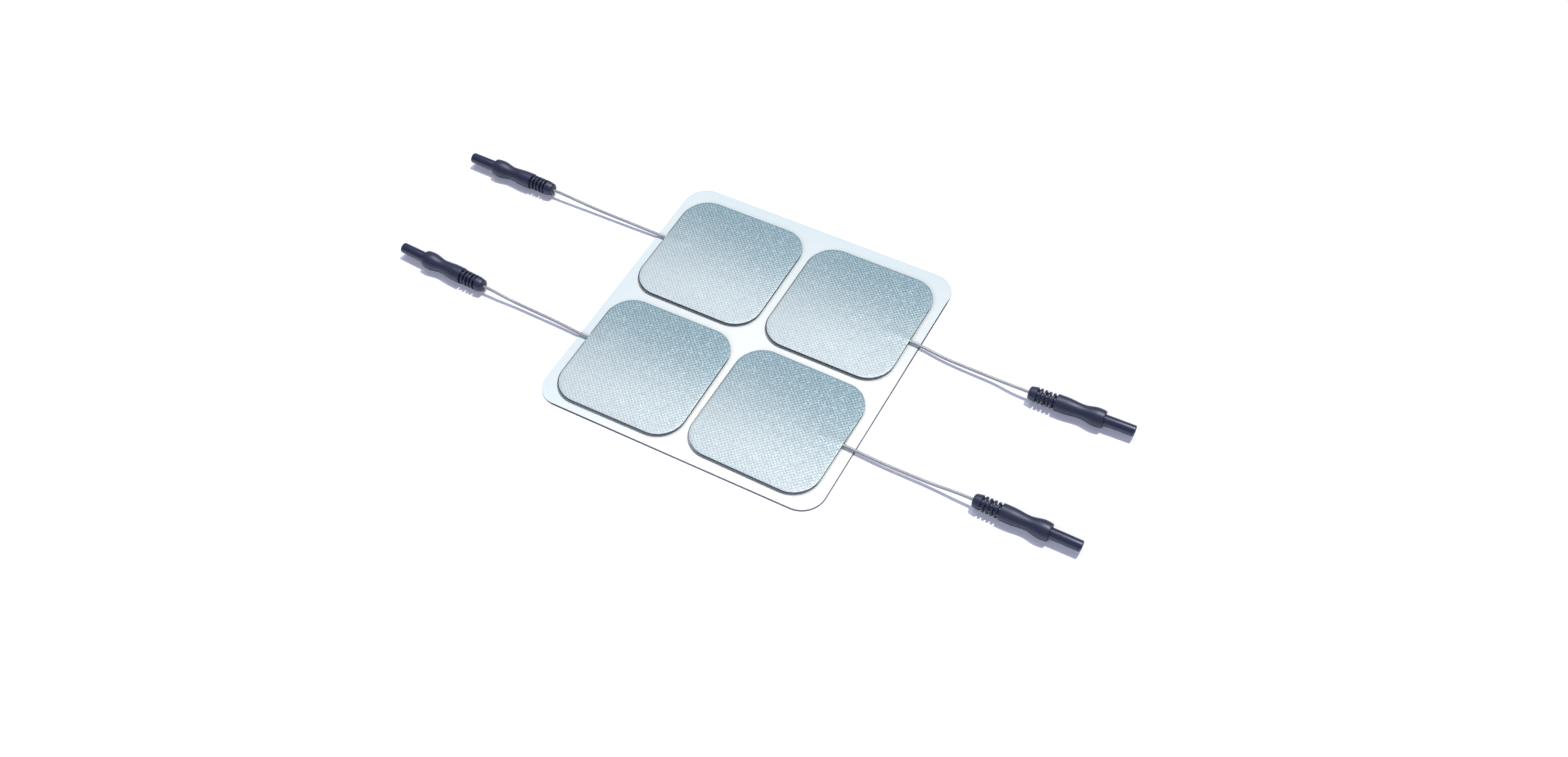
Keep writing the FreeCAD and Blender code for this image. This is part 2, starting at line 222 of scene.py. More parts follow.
def lead_route(place):
    """The lead's route from inside the pad to inside the grip, in metres in the row frame."""
    side, lie = side_of(place), LAYOUT[place]
    edge = settings().pad.length / 2 / MM
    height = settings().lead.exit_height / MM
    own = [(edge - LEAD_TUCK, lie["exit"], height), (edge + LEAD_STRAIGHT, lie["exit"], height)]
    own += [(edge + x, y, z) for x, y, z in lie["route"]]
    home = pad_matrix(place)
    points = [home @ (Vector((side * x, side * y, z)) * MM) for x, y, z in own]
    plug = connector_matrix(place)
    points += [plug @ Vector((x * MM, 0, 0)) for x in (-LEAD_IN_GRIP, LEAD_IN_GRIP)]
    return points


# ---------------------------------------------------------------- meshes


def new_object(name, mesh, matrix=None, sharp_degrees=40):
    mesh.polygons.foreach_set("use_smooth", [True] * len(mesh.polygons))
    mesh.set_sharp_from_angle(angle=math.radians(sharp_degrees))
    made = bpy.data.objects.new(name, mesh)
    bpy.context.scene.collection.objects.link(made)
    if matrix is not None:
        made.matrix_world = matrix
    return made


def mesh_from(name, vertices, faces):
    mesh = bpy.data.meshes.new(name)
    mesh.from_pydata(vertices, [], faces)
    work = bmesh.new()
    work.from_mesh(mesh)
    bmesh.ops.recalc_face_normals(work, faces=work.faces)
    work.to_mesh(mesh)
    work.free()
    return mesh


def smooth_step(low, high, value):
    t = min(max((value - low) / (high - low), 0.0), 1.0)
    return t * t * (3 - 2 * t)


def rounded_square_point(u, v, half, corner):
    """Carries a point of the square -1..1 to a square with round corners, ring by ring."""
    ring = max(abs(u), abs(v))
    if ring == 0:
        return 0.0, 0.0
    upright = abs(u) >= abs(v)
    across, along = (u, v) if upright else (v, u)
    straight = half - corner
    distance = abs(along) / ring * (straight + corner * math.pi / 4)
    if distance <= straight:
        out, beside = half, distance
    else:
        angle = (distance - straight) / corner
        out, beside = straight + corner * math.cos(angle), straight + corner * math.sin(angle)
    out = math.copysign(out * ring, across)
    beside = math.copysign(beside * ring, along)
    return (out, beside) if upright else (beside, out)


def grid_levels(half, step, fine_at=None, fine_reach=0.0, fine_step=1.0):
    """Grid lines from -1 to 1: even, closer near a feature, and close together by the rim."""
    count = round(2 * half / step)
    levels = {round(-1 + 2 * i / count, 6) for i in range(count + 1)}
    for rim in RIM_LINES:
        levels |= {round(1 - rim / half, 6), round(rim / half - 1, 6)}
    if fine_at is not None:
        steps = int(fine_reach / fine_step)
        for i in range(-steps, steps + 1):
            value = (fine_at + i * fine_step) / half
            if abs(value) < 1 - 1 / half:
                levels.add(round(value, 6))
    kept = []
    for value in sorted(levels):
        if not kept or value - kept[-1] > GRID_MIN_STEP / half:
            kept.append(value)
    kept[-1] = 1.0
    return kept


def sheet_mesh(name, columns, rows, place_of, top_of, bottom_of):
    """A closed thin sheet on a grid: place_of(u, v) is its outline, top_of and bottom_of its two heights."""
    vertices, faces = [], []
    across, deep = len(columns), len(rows)
    for height_of in (top_of, bottom_of):
        for u in columns:
            for v in rows:
                x, y = place_of(u, v)
                vertices.append((x * MM, y * MM, height_of(x, y, max(abs(u), abs(v))) * MM))

    def index(layer, i, j):
        return layer * across * deep + i * deep + j

    for layer in (0, 1):
        for i in range(across - 1):
            for j in range(deep - 1):
                corners = ((i, j), (i + 1, j), (i + 1, j + 1), (i, j + 1))
                faces.append(tuple(index(layer, *corner) for corner in corners))
    rim = [(i, 0) for i in range(across)] + [(across - 1, j) for j in range(1, deep)]
    rim += [(i, deep - 1) for i in range(across - 2, -1, -1)] + [(0, j) for j in range(deep - 2, 0, -1)]
    for here, there in zip(rim, rim[1:] + rim[:1]):
        faces.append((index(0, *here), index(0, *there), index(1, *there), index(1, *here)))
    return mesh_from(name, vertices, faces)


def softened(points, radius, steps=4):
    """Rounds the corners of an open line of (x, r) points. Ends keep their places."""
    line = [points[0]]
    for before, corner, after in zip(points, points[1:], points[2:]):
        a, c, b = Vector(before), Vector(corner), Vector(after)
        reach = min(radius, 0.45 * (a - c).length, 0.45 * (b - c).length)
        start, end = c + (a - c).normalized() * reach, c + (b - c).normalized() * reach
        for i in range(steps + 1):
            t = i / steps
            line.append(tuple(start * (1 - t) ** 2 + c * (2 * t * (1 - t)) + end * t**2))
    line.append(points[-1])
    return line


def lathe_mesh(name, loop, segments, radius_at=None):
    """A closed loop of (x, r) points turned about the X axis. radius_at(x, r, angle) may change a radius."""
    vertices, faces = [], []
    count = len(loop)
    for k in range(segments):
        angle = 2 * math.pi * k / segments
        for x, r in loop:
            radius = radius_at(x, r, angle) if radius_at else r
            vertices.append((x * MM, radius * math.cos(angle) * MM, radius * math.sin(angle) * MM))
    for k in range(segments):
        after = (k + 1) % segments
        for i in range(count):
            j = (i + 1) % count
            faces.append((k * count + i, k * count + j, after * count + j, after * count + i))
    return mesh_from(name, vertices, faces)


# ---------------------------------------------------------------- materials


class Finish:
    """A material under construction: makes nodes, links them and sets the shader's own sockets."""

    def __init__(self, name, **sockets):
        self.material = bpy.data.materials.new(name)
        self.material.use_nodes = True
        self.tree = self.material.node_tree
        self.shader = self.tree.nodes["Principled BSDF"]
        for socket, value in sockets.items():
            self.shader.inputs[socket.replace("_", " ")].default_value = value

    def node(self, kind, inputs=None, **settings_of):
        made = self.tree.nodes.new("ShaderNode" + kind)
        for key, value in settings_of.items():
            setattr(made, key, value)
        for key, value in (inputs or {}).items():
            if isinstance(value, bpy.types.NodeSocket):
                self.tree.links.new(value, made.inputs[key])
            else:
                made.inputs[key].default_value = value
        return made

    def math(self, operation, a, b=0.0, c=0.0):
        return self.node("Math", {0: a, 1: b, 2: c}, operation=operation).outputs[0]

    def own_place(self):
        return self.node("TexCoord").outputs["Object"]

    def noise(self, scale, detail=2.0, roughness=0.5, vector=None):
        inputs = {"Scale": scale, "Detail": detail, "Roughness": roughness}
        inputs["Vector"] = vector or self.own_place()
        return self.node("TexNoise", inputs).outputs["Fac"]

    def ranged(self, value, low, high, to_low, to_high):
        inputs = {"Value": value, "From Min": low, "From Max": high, "To Min": to_low, "To Max": to_high}
        return self.node("MapRange", inputs).outputs["Result"]

    def mixed(self, factor, a, b, blend="MIX"):
        made = self.node("Mix", data_type="RGBA", blend_type=blend)
        for key, value in ((0, factor), (6, a), (7, b)):
            if isinstance(value, bpy.types.NodeSocket):
                self.tree.links.new(value, made.inputs[key])
            else:
                made.inputs[key].default_value = (*value, 1.0) if isinstance(value, tuple) else value
        return made.outputs[2]

    def feed(self, socket, value):
        self.tree.links.new(value, self.shader.inputs[socket])

    def bump(self, height, distance, strength=1.0, under=None):
        inputs = {"Height": height, "Distance": distance, "Strength": strength}
        if under is not None:
            inputs["Normal"] = under
        return self.node("Bump", inputs).outputs["Normal"]


def knit_finish(colours):
    """Silver-grey knit: raised loops with painted shade between them, painted glints on some threads among
    dull ones, painted shade at the back, painted light at the front, and painted shade on its cut side.
    """
    made = Finish("silver_knit", Metallic=0.2, Sheen_Weight=0.1, Sheen_Roughness=0.4)
    place = made.own_place()
    parts = made.node("SeparateXYZ", {0: place})
    x, y = parts.outputs["X"], parts.outputs["Y"]
    turn = 2 * math.pi / colours.loop_pitch
    wander = made.ranged(made.noise(500.0, 1.0, vector=place), 0.0, 1.0, -0.5, 0.5)
    wave_x = made.math("SINE", made.math("MULTIPLY_ADD", x, turn, wander))
    wave_y = made.math("SINE", made.math("MULTIPLY_ADD", y, turn, wander))
    loops = made.math("MULTIPLY_ADD", made.math("MULTIPLY", wave_x, wave_y), 0.5, 0.5)
    threads = made.node("TexVoronoi", {"Vector": place, "Scale": 2600.0}, feature="F1")
    thread_tone = made.node("SeparateColor", {0: threads.outputs["Color"]}).outputs[0]
    glinting_thread = made.ranged(thread_tone, 0.8, 0.98, 0.0, 1.0)
    dull_thread = made.ranged(thread_tone, 0.0, 0.2, 1.0, 0.0)
    cloud = made.noise(70.0, 2.0, 0.5, vector=place)
    reach = settings().pad.length / 2
    # Painted shade at the back and painted light towards the front, with an uneven edge between the two; the
    # knit's marks are calmer where the painted light is
    fall = made.math("MULTIPLY_ADD", x, -0.1, made.math("MULTIPLY", y, -1.0))
    fall = made.math("MULTIPLY_ADD", cloud, 0.12 * reach, fall)
    painted_light = made.ranged(fall, -0.85 * reach, 0.85 * reach, 0.0, 1.0)
    painted_light = made.node("MapRange", {"Value": painted_light}, interpolation_type="SMOOTHSTEP").outputs["Result"]
    colour = made.mixed(painted_light, tuple(colours.cloth_back_shaded), tuple(colours.cloth_front_lit))
    calm = made.ranged(painted_light, 0.2, 1.0, 1.0, 0.45)
    # Painted shade in the dips between the raised loops and painted light on their tops, calmer where the
    # painted light is
    relief = made.ranged(loops, 0.0, 1.0, -0.42, 0.34)
    shade = made.math("MULTIPLY_ADD", relief, calm, 1.0)
    grey = made.node("CombineColor", {0: shade, 1: shade, 2: shade}).outputs[0]
    colour = made.mixed(1.0, colour, grey, "MULTIPLY")
    # Painted glints on scattered threads, stronger at the back, and dull dark threads among them
    bright = made.math("MULTIPLY", glinting_thread, made.math("MULTIPLY", calm, 0.35))
    colour = made.mixed(bright, colour, (0.7, 0.78, 0.78))
    dull = made.math("MULTIPLY", dull_thread, made.math("MULTIPLY", calm, 0.5))
    colour = made.mixed(dull, colour, (0.12, 0.2, 0.23))
    # Painted shade on the cloth's upright cut side
    normal = made.node("NewGeometry").outputs["Normal"]
    upright = made.math("ABSOLUTE", made.node("SeparateXYZ", {0: normal}).outputs["Z"])
    painted_edge_shade = made.ranged(upright, 0.5, 0.97, 0.5, 0.0)
    made.feed("Base Color", made.mixed(painted_edge_shade, colour, (0.12, 0.16, 0.18)))
    made.feed("Roughness", made.ranged(thread_tone, 0.0, 1.0, 0.62, 0.4))
    raised = made.math("MULTIPLY_ADD", thread_tone, 0.35, loops)
    made.feed("Normal", made.bump(raised, 0.0001, 0.4))
    return made.material


def gel_finish():
    """Dark wet gel: clear skin over cloudy grey, with fine trapped bubbles."""
    made = Finish(
        "dark_gel", Roughness=0.18, IOR=1.5, Coat_Weight=1.0, Coat_Roughness=0.08, Subsurface_Weight=0.08,
        Subsurface_Scale=0.001,
    )
    cells = made.node("TexVoronoi", {"Vector": made.own_place(), "Scale": 1800.0}, feature="F1")
    bubbles = cells.outputs["Distance"]
    cloud = made.noise(420.0, 3.0)
    colour = made.mixed(cloud, (0.028, 0.036, 0.042), (0.062, 0.076, 0.086))
    speck = made.ranged(bubbles, 0.0, 0.22, 1.0, 0.0)
    made.feed("Base Color", made.mixed(made.math("MULTIPLY", speck, 0.35), colour, (0.2, 0.24, 0.27)))
    made.feed("Normal", made.bump(cloud, 0.00008, 0.4))
    return made.material


def carbon_finish():
    """Matte carbon-loaded film, mottled where the carbon is denser."""
    made = Finish("carbon_film", Metallic=0.1)
    cloud = made.noise(1400.0, 4.0, 0.6)
    made.feed("Base Color", made.mixed(cloud, (0.016, 0.019, 0.022), (0.045, 0.05, 0.055)))
    made.feed("Roughness", made.ranged(cloud, 0.3, 0.7, 0.5, 0.7))
    made.feed("Normal", made.bump(cloud, 0.00002, 0.5))
    return made.material


def liner_finish(colours):
    """Glossy pale film: slow ripple, fine handling marks, painted shade on its cut side and in a line along
    its front and right edges, and a painted reflection along its left and back.
    """
    made = Finish("release_film", IOR=1.5, Coat_Weight=0.25, Coat_Roughness=0.05)
    place = made.own_place()
    normal = made.node("NewGeometry").outputs["Normal"]
    upright = made.math("ABSOLUTE", made.node("SeparateXYZ", {0: normal}).outputs["Z"])
    # Painted shade on the film's upright cut side, joined by the painted shade line along its front and
    # right edges
    painted_edge_shade = made.ranged(upright, 0.2, 0.7, 1.0, 0.0)
    painted_edge_shade = made.math("MAXIMUM", painted_edge_shade, painted_shade_line(made, place))
    # Painted reflection along the left and back, none from the middle to the front right corner
    parts = made.node("SeparateXYZ", {0: place})
    cloud = made.ranged(made.noise(14.0, 2.0, vector=place), 0.0, 1.0, -0.01, 0.01)
    fall = made.math("MINIMUM", parts.outputs["X"], made.math("MULTIPLY", parts.outputs["Y"], -1.0))
    clear = made.ranged(made.math("ADD", fall, cloud), -0.06, -0.005, 0.0, 1.0)
    film = made.mixed(clear, tuple(colours.liner), tuple(colours.liner_front))
    made.feed("Base Color", made.mixed(painted_edge_shade, film, tuple(colours.liner_edge_shade)))
    stretched = made.node("Mapping", {"Vector": place, "Scale": (60.0, 900.0, 60.0)}).outputs[0]
    marks = made.noise(1.0, 3.0, vector=stretched)
    made.feed("Roughness", made.ranged(marks, 0.35, 0.75, 0.14, 0.26))
    ripple = made.noise(22.0, 1.0, vector=place)
    made.feed("Normal", made.bump(ripple, 0.0004, 0.5))
    return made.material


def painted_shade_line(made, place):
    """0 to 1: a thin line of painted shade along the film's front and right edges only, where the model has
    no step.
    """
    low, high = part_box("release_liner")
    half_x, half_y = (high.x - low.x) / 2, (high.y - low.y) / 2
    corner, width = LINER_CORNER * MM, SHADE_LINE_WIDTH * MM
    parts = made.node("SeparateXYZ", {0: place})
    x = made.math("SUBTRACT", parts.outputs["X"], (high.x + low.x) / 2)
    y = made.math("SUBTRACT", parts.outputs["Y"], (high.y + low.y) / 2)
    past_x = made.math("MAXIMUM", made.math("SUBTRACT", made.math("ABSOLUTE", x), half_x - corner), 0.0)
    past_y = made.math("MAXIMUM", made.math("SUBTRACT", made.math("ABSOLUTE", y), half_y - corner), 0.0)
    squares = made.math("MULTIPLY_ADD", past_x, past_x, made.math("MULTIPLY", past_y, past_y))
    reach = made.math("SQRT", squares)
    near = made.ranged(reach, corner - width, corner - 0.8 * width, 0.0, 1.0)
    across = made.math("SUBTRACT", x, y)
    shaded_side = made.ranged(across, SHADE_LINE_START * MM, SHADE_LINE_FULL * MM, 0.0, 1.0)
    return made.math("MULTIPLY", near, shaded_side)


def lead_finish(colours):
    """Smooth silvery grey insulation with faint extrusion marks and a little handling grime."""
    made = Finish("lead_insulation", Metallic=0.6, IOR=1.5, Coat_Weight=0.6, Coat_Roughness=0.12)
    cloud = made.noise(160.0, 3.0)
    pale = tuple(colours.lead)
    made.feed("Base Color", made.mixed(cloud, tuple(c * 0.88 for c in pale), pale))
    made.feed("Roughness", made.ranged(cloud, 0.3, 0.7, 0.16, 0.26))
    made.feed("Normal", made.bump(made.noise(2500.0, 2.0), 0.00001, 0.4))
    return made.material


def moulded_finish(name, colour, rough, grain_scale, grain_depth):
    """Blue-black moulded plastic: fine spark-eroded grain, uneven sheen and paler rubbed spots."""
    made = Finish(name, IOR=1.6, Specular_IOR_Level=0.6, Specular_Tint=(0.78, 0.82, 1.0, 1.0))
    grain = made.noise(grain_scale, 3.0, 0.6)
    cloud = made.noise(240.0, 3.0, 0.6)
    rubbed = made.ranged(cloud, 0.58, 0.75, 0.0, 0.35)
    base = made.mixed(grain, tuple(c * 0.8 for c in colour), tuple(c * 1.2 for c in colour))
    made.feed("Base Color", made.mixed(rubbed, base, tuple(c * 1.9 for c in colour)))
    made.feed("Roughness", made.ranged(cloud, 0.3, 0.7, rough + 0.06, rough - 0.05))
    made.feed("Normal", made.bump(grain, grain_depth, 0.6))
    return made.material


def grip_finish(colours):
    """The soft moulding: duller, with the coarser grain."""
    return moulded_finish("soft_moulding", tuple(colours.grip), 0.46, 2600.0, 2e-5)


def sleeve_finish(colours):
    """The stiff moulding: smoother and finer."""
    return moulded_finish("stiff_nose", tuple(colours.sleeve), 0.34, 4200.0, 8e-6)


def plated_finish():
    """Bright nickel plating with turning marks."""
    made = Finish("nickel_plating", Metallic=1.0)
    place = made.node("Mapping", {"Vector": made.own_place(), "Scale": (9000.0, 400.0, 400.0)}).outputs[0]
    marks = made.noise(1.0, 2.0, vector=place)
    made.feed("Base Color", made.mixed(marks, (0.62, 0.6, 0.55), (0.78, 0.77, 0.73)))
    made.feed("Roughness", made.ranged(marks, 0.3, 0.7, 0.18, 0.34))
    made.feed("Normal", made.bump(marks, 0.00001, 0.5))
    return made.material


def strand_finish():
    """Tinned strands: bright metal with the fine slant of the lay."""
    made = Finish("tinned_strands", Metallic=1.0)
    place = made.own_place()
    parts = made.node("SeparateXYZ", {0: place})
    rising = made.math("MULTIPLY", parts.outputs["Z"], 5200.0)
    slant = made.math("MULTIPLY_ADD", parts.outputs["X"], 3200.0, rising)
    lay = made.math("MULTIPLY_ADD", made.math("SINE", slant), 0.5, 0.5)
    made.feed("Base Color", made.mixed(lay, (0.42, 0.42, 0.43), (0.72, 0.72, 0.74)))
    made.feed("Roughness", made.ranged(lay, 0.0, 1.0, 0.4, 0.25))
    made.feed("Normal", made.bump(lay, 0.00003, 0.6))
    return made.material


def floor_finish(colours):
    """A plain pale studio floor, very slightly uneven."""
    made = Finish("studio_floor", Roughness=0.9, Specular_IOR_Level=0.0)
    cloud = made.noise(6.0, 2.0)
    pale = tuple(colours.floor)
    made.feed("Base Color", made.mixed(cloud, tuple(c * 0.99 for c in pale), pale))
    return made.material


def finished(name, make):
    """The material of that name, made the first time it's asked for."""
    return bpy.data.materials.get(name) or make()


def paint(piece, material):
    piece.data.materials.clear()
    piece.data.materials.append(material)


# ---------------------------------------------------------------- settings


class PadSettings(bpy.types.PropertyGroup):
    length: bpy.props.FloatProperty(
        name="Pad size", description="Side of the square pad", default=50 * MM, unit="LENGTH"
    )
    corner: bpy.props.FloatProperty(
        name="Corner radius", description="Radius of the pad's corners", default=10 * MM, unit="LENGTH"
    )
    crown: bpy.props.FloatProperty(
        name="Crown", description="How far the cloth swells in its middle", default=0.7 * MM, unit="LENGTH"
    )
    gel_bulge: bpy.props.FloatProperty(
        name="Gel bulge", description="How far the gel's side swells past the cloth", default=0.15 * MM,
        unit="LENGTH",
    )


class LeadSettings(bpy.types.PropertyGroup):
    diameter: bpy.props.FloatProperty(
        name="Diameter", description="Outer diameter of the insulation", default=1.2 * MM, unit="LENGTH"
    )
    exit_height: bpy.props.FloatProperty(
        name="Exit height", description="Height of the lead's axis where it leaves the pad",
        default=1.35 * MM, unit="LENGTH",
    )


class ColourSettings(bpy.types.PropertyGroup):
    loop_pitch: bpy.props.FloatProperty(
        name="Loop pitch", description="Repeat of the knit's raised loops", default=1.5 * MM, unit="LENGTH"
    )
    # Knit's colour in painted shade at the back
    cloth_back_shaded: bpy.props.FloatVectorProperty(
        name="Cloth, back", description="Knit's colour towards the back", default=(0.185, 0.28, 0.3),
        subtype="COLOR", size=3,
    )
    # Knit's colour in painted light at the front
    cloth_front_lit: bpy.props.FloatVectorProperty(
        name="Cloth, front", description="Knit's colour towards the front", default=(0.42, 0.475, 0.465),
        subtype="COLOR", size=3,
    )
    # Painted reflection: the film's colour along the left and back
    liner: bpy.props.FloatVectorProperty(
        name="Liner, tinted", description="Release film's colour at the left and back",
        default=(0.55, 0.62, 0.6),
        subtype="COLOR", size=3,
    )
    # The film's colour where no reflection is painted
    liner_front: bpy.props.FloatVectorProperty(
        name="Liner, clear", description="Release film's colour in the middle and front",
        default=(0.68, 0.7, 0.65),
        subtype="COLOR", size=3,
    )
    # Painted shade on the film's cut side and in its front and right edge line
    liner_edge_shade: bpy.props.FloatVectorProperty(
        name="Liner edge", description="Colour of the film's cut edge", default=(0.02, 0.022, 0.028),
        subtype="COLOR", size=3,
    )
    lead: bpy.props.FloatVectorProperty(
        name="Lead", description="Insulation's colour", default=(0.4, 0.41, 0.4), subtype="COLOR", size=3
    )
    grip: bpy.props.FloatVectorProperty(
        name="Grip", description="Soft moulding's colour", default=(0.011, 0.014, 0.03),
        subtype="COLOR", size=3,
    )
    sleeve: bpy.props.FloatVectorProperty(
        name="Sleeve", description="Stiff nose's colour", default=(0.012, 0.015, 0.032),
        subtype="COLOR", size=3,
    )
    floor: bpy.props.FloatVectorProperty(
        name="Floor", description="Studio floor's colour", default=(0.8, 0.8, 0.8), subtype="COLOR", size=3
    )


class StudioSettings(bpy.types.PropertyGroup):
    azimuth: bpy.props.FloatProperty(
        name="Azimuth", description="Camera's turn about the set", default=math.radians(31.12),
        subtype="ANGLE",
    )
    elevation: bpy.props.FloatProperty(
        name="Elevation", description="Camera's height angle", default=math.radians(52.51), subtype="ANGLE"
    )
    roll: bpy.props.FloatProperty(
        name="Roll", description="Camera's roll about its line of sight", default=math.radians(-3.23),
        subtype="ANGLE",
    )
    distance: bpy.props.FloatProperty(
        name="Distance", description="Camera to the point it looks at", default=0.561, unit="LENGTH"
    )
    target: bpy.props.FloatVectorProperty(
        name="Target", description="Point on the floor that the camera looks at",
        default=(19.44 * MM, -10.43 * MM, 0.0), subtype="TRANSLATION", size=3,
    )
    lens: bpy.props.FloatProperty(
        name="Lens", description="Focal length on a 36 mm sensor", default=36.46, unit="CAMERA"
    )
    key_strength: bpy.props.FloatProperty(
        name="Key", description="Strength of the key light", default=2.7, min=0
    )
    fill_energy: bpy.props.FloatProperty(
        name="Fill", description="Power of the overhead softbox", default=3.2, min=0
    )
    front_energy: bpy.props.FloatProperty(
        name="Front fill", description="Power of the softbox in front", default=8.0, min=0
    )
    room: bpy.props.FloatVectorProperty(
        name="Room light", description="Colour and strength of the room's light", default=(0.2, 0.21, 0.34),
        subtype="COLOR", size=3,
    )


class ElectrodeSettings(bpy.types.PropertyGroup):
    pad: bpy.props.PointerProperty(type=PadSettings, name="Pads", description="Sizes of the pads")
    lead: bpy.props.PointerProperty(type=LeadSettings, name="Leads", description="Sizes of the leads")
    colours: bpy.props.PointerProperty(
        type=ColourSettings, name="Colours", description="Colours of the pieces"
    )
    studio: bpy.props.PointerProperty(type=StudioSettings, name="Studio", description="Camera and lights")


def settings():
    return bpy.context.scene.electrodes


# ---------------------------------------------------------------- pieces


def lead_swell(place, x, y, width, inner_end=SWELL_INNER_END):
    """0 to 1: how much the cloth rises at (x, y) of the pad over the end of the lead."""
    side = side_of(place)
    half = settings().pad.length / 2 / MM
    beside = side * y - LAYOUT[place]["exit"]
    along = smooth_step(half - inner_end, half - 0.5 * inner_end, side * x)
    return along * math.exp(-((beside / width) ** 2))


def cover_cloth(place):
    """The knitted cover: a thin closed sheet, slightly crowned, that turns down at its rim.

    It swells over the end of the lead and is hollowed under the swell.
    """
    pad = settings().pad
    half, corner, crown = pad.length / 2 / MM, pad.corner / MM, pad.crown / MM
    film_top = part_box("carbon_film_" + place)[1].z / MM
    cloth_top = film_top + CLOTH_THICKNESS
    exit_y = side_of(place) * LAYOUT[place]["exit"]
    columns = grid_levels(half, GRID_STEP, side_of(place) * (half - LEAD_TUCK), 3.5, 0.5)
    rows = grid_levels(half, GRID_STEP, exit_y, 2.7, 0.3)

    def place_of(u, v):
        return rounded_square_point(u, v, half, corner)

    def rise(x, y):
        return crown * (1 - (x / half) ** 2) * (1 - (y / half) ** 2)

    def top_of(x, y, ring):
        rim = half * (1 - ring)
        turned_down = RIM_DROP * (1 - smooth_step(0, RIM_DROP_REACH, rim)) ** 2
        return cloth_top + rise(x, y) - turned_down + SWELL_RISE * lead_swell(place, x, y, SWELL_WIDTH)

    def bottom_of(x, y, ring):
        hollow = HOLLOW_RISE * lead_swell(place, x, y, HOLLOW_WIDTH)
        return film_top + CLOTH_GAP + rise(x, y) + hollow

    mesh = sheet_mesh("cover_cloth", columns, rows, place_of, top_of, bottom_of)
    return new_object("cover_" + place, mesh, pad_matrix(place), sharp_degrees=60)


def gel_sheet(place):
    """The gel under the film: a soft slab whose side swells a little and yields where the lead enters.

    It lies a little to the left and front of its cloth, where its dark side stands in for shade.
    """
    pad = settings().pad
    half, corner, bulge = pad.length / 2 / MM, pad.corner / MM, pad.gel_bulge / MM
    low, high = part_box("hydrogel_" + place)
    bottom, top = low.z / MM, high.z / MM
    steps = [-1 + 2 * i / GEL_SEGMENTS for i in range(GEL_SEGMENTS)]
    rim = [(1, s) for s in steps] + [(-s, 1) for s in steps]
    rim += [(-1, -s) for s in steps] + [(s, -1) for s in steps]
    vertices, faces = [], []
    for layer in range(GEL_LAYERS + 1):
        share = layer / GEL_LAYERS
        z = bottom + (top - bottom) * share
        out = bulge * math.sin(math.pi * share) ** 0.7 - GEL_INSET
        for u, v in rim:
            x, y = rounded_square_point(u, v, half + out, corner + out)
            dent = lead_swell(place, x, y, DENT_WIDTH, DENT_INNER_END)
            shelf = smooth_step(0.0, DENT_RAMP, z - DENT_START)
            # Slipped left and front so that its dark side stands in for shade past the cloth's edge
            x -= GEL_SHADE_SLIP_X + side_of(place) * LEAD_TUCK * dent * shelf
            vertices.append((x * MM, (y - GEL_SHADE_SLIP_Y) * MM, z * MM))
    count = len(rim)
    for layer in range(GEL_LAYERS):
        for i in range(count):
            j = (i + 1) % count
            faces.append(tuple(n + layer * count for n in (i, j, j + count, i + count)))
    faces.append(tuple(range(count)))
    faces.append(tuple(range(GEL_LAYERS * count, (GEL_LAYERS + 1) * count)))
    mesh = mesh_from("gel_sheet", vertices, faces)
    return new_object("gel_" + place, mesh, pad_matrix(place), sharp_degrees=50)


def smooth_curve(name, points):
    """A smooth line drawn along the points. It starts at the first and ends at the last."""
    curve = bpy.data.curves.new(name, "CURVE")
    curve.dimensions = "3D"
    spline = curve.splines.new("NURBS")
    spline.points.add(len(points) - 1)
    for point, where in zip(spline.points, points):
        point.co = (*where, 1.0)
    spline.order_u = SPLINE_ORDER
    spline.use_endpoint_u = True
    spline.resolution_u = SPLINE_STEPS
    return curve


def lead_line(place):
    """The lead: one smooth line along its route, from inside the pad to inside the grip."""
    curve = smooth_curve("lead_line", lead_route(place))
    curve.bevel_depth = settings().lead.diameter / 2
    curve.bevel_resolution = 7
    curve.use_fill_caps = True
    made = bpy.data.objects.new("lead_" + place, curve)
    bpy.context.scene.collection.objects.link(made)
    return made


def line_length(points):
    """Length of the smooth line that a route gives, read from the spline itself."""
    curve = smooth_curve("measure", points)
    holder = bpy.data.objects.new("measure", curve)
    mesh = bpy.data.meshes.new_from_object(holder)
    places = [v.co.copy() for v in mesh.vertices]
    bpy.data.objects.remove(holder)
    bpy.data.curves.remove(curve)
    bpy.data.meshes.remove(mesh)
    return sum((b - a).length for a, b in zip(places, places[1:]))


